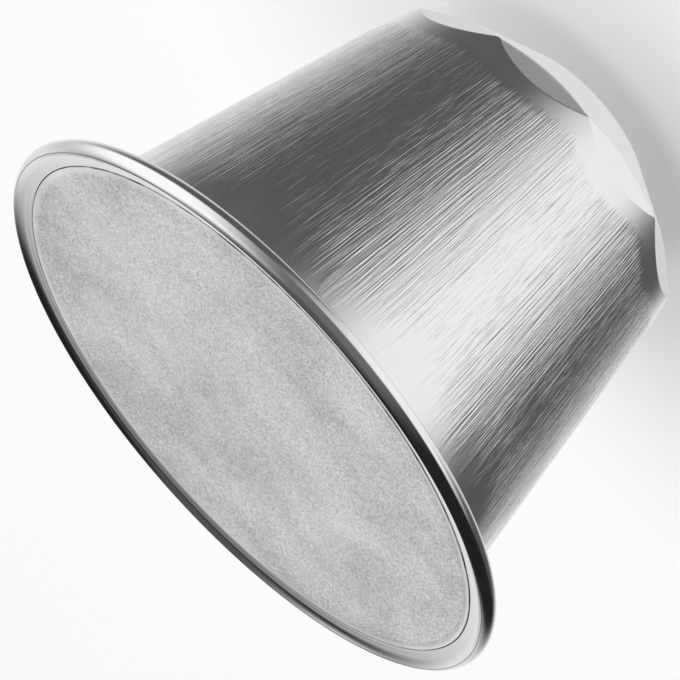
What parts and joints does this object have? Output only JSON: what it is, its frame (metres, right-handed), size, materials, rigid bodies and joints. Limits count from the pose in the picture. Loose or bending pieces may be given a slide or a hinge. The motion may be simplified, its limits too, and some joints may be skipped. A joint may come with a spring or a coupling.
{
  "type": "coffee pod",
  "caption": "Sealed tapered metal coffee pod with a ring of flat facets round its shoulder, a rolled flange, a flat foil lid and a sealing bead behind the flange.",
  "frame": {"origin": "centre of the narrow end's flat face, which the pod stands on", "axes": "+Z along the pod's axis from the narrow end to the lid; -Y through one cusp between two shoulder facets"},
  "size_m": [0.037, 0.037, 0.0263],
  "materials": {
    "cup_metal": "bright aluminium with fine lengthwise brushed lines on the wall, smooth on the facets, flange and narrow end",
    "lid_foil": "matte fibrous foil with soft shallow undulations and a smooth sealed margin",
    "bead_rubber": "soft satin grey"
  },
  "bodies": {
    "root": {"sealed_cup": "cup_metal", "foil_lid": "lid_foil", "sealing_bead": "bead_rubber"}
  },
  "joints": []
}
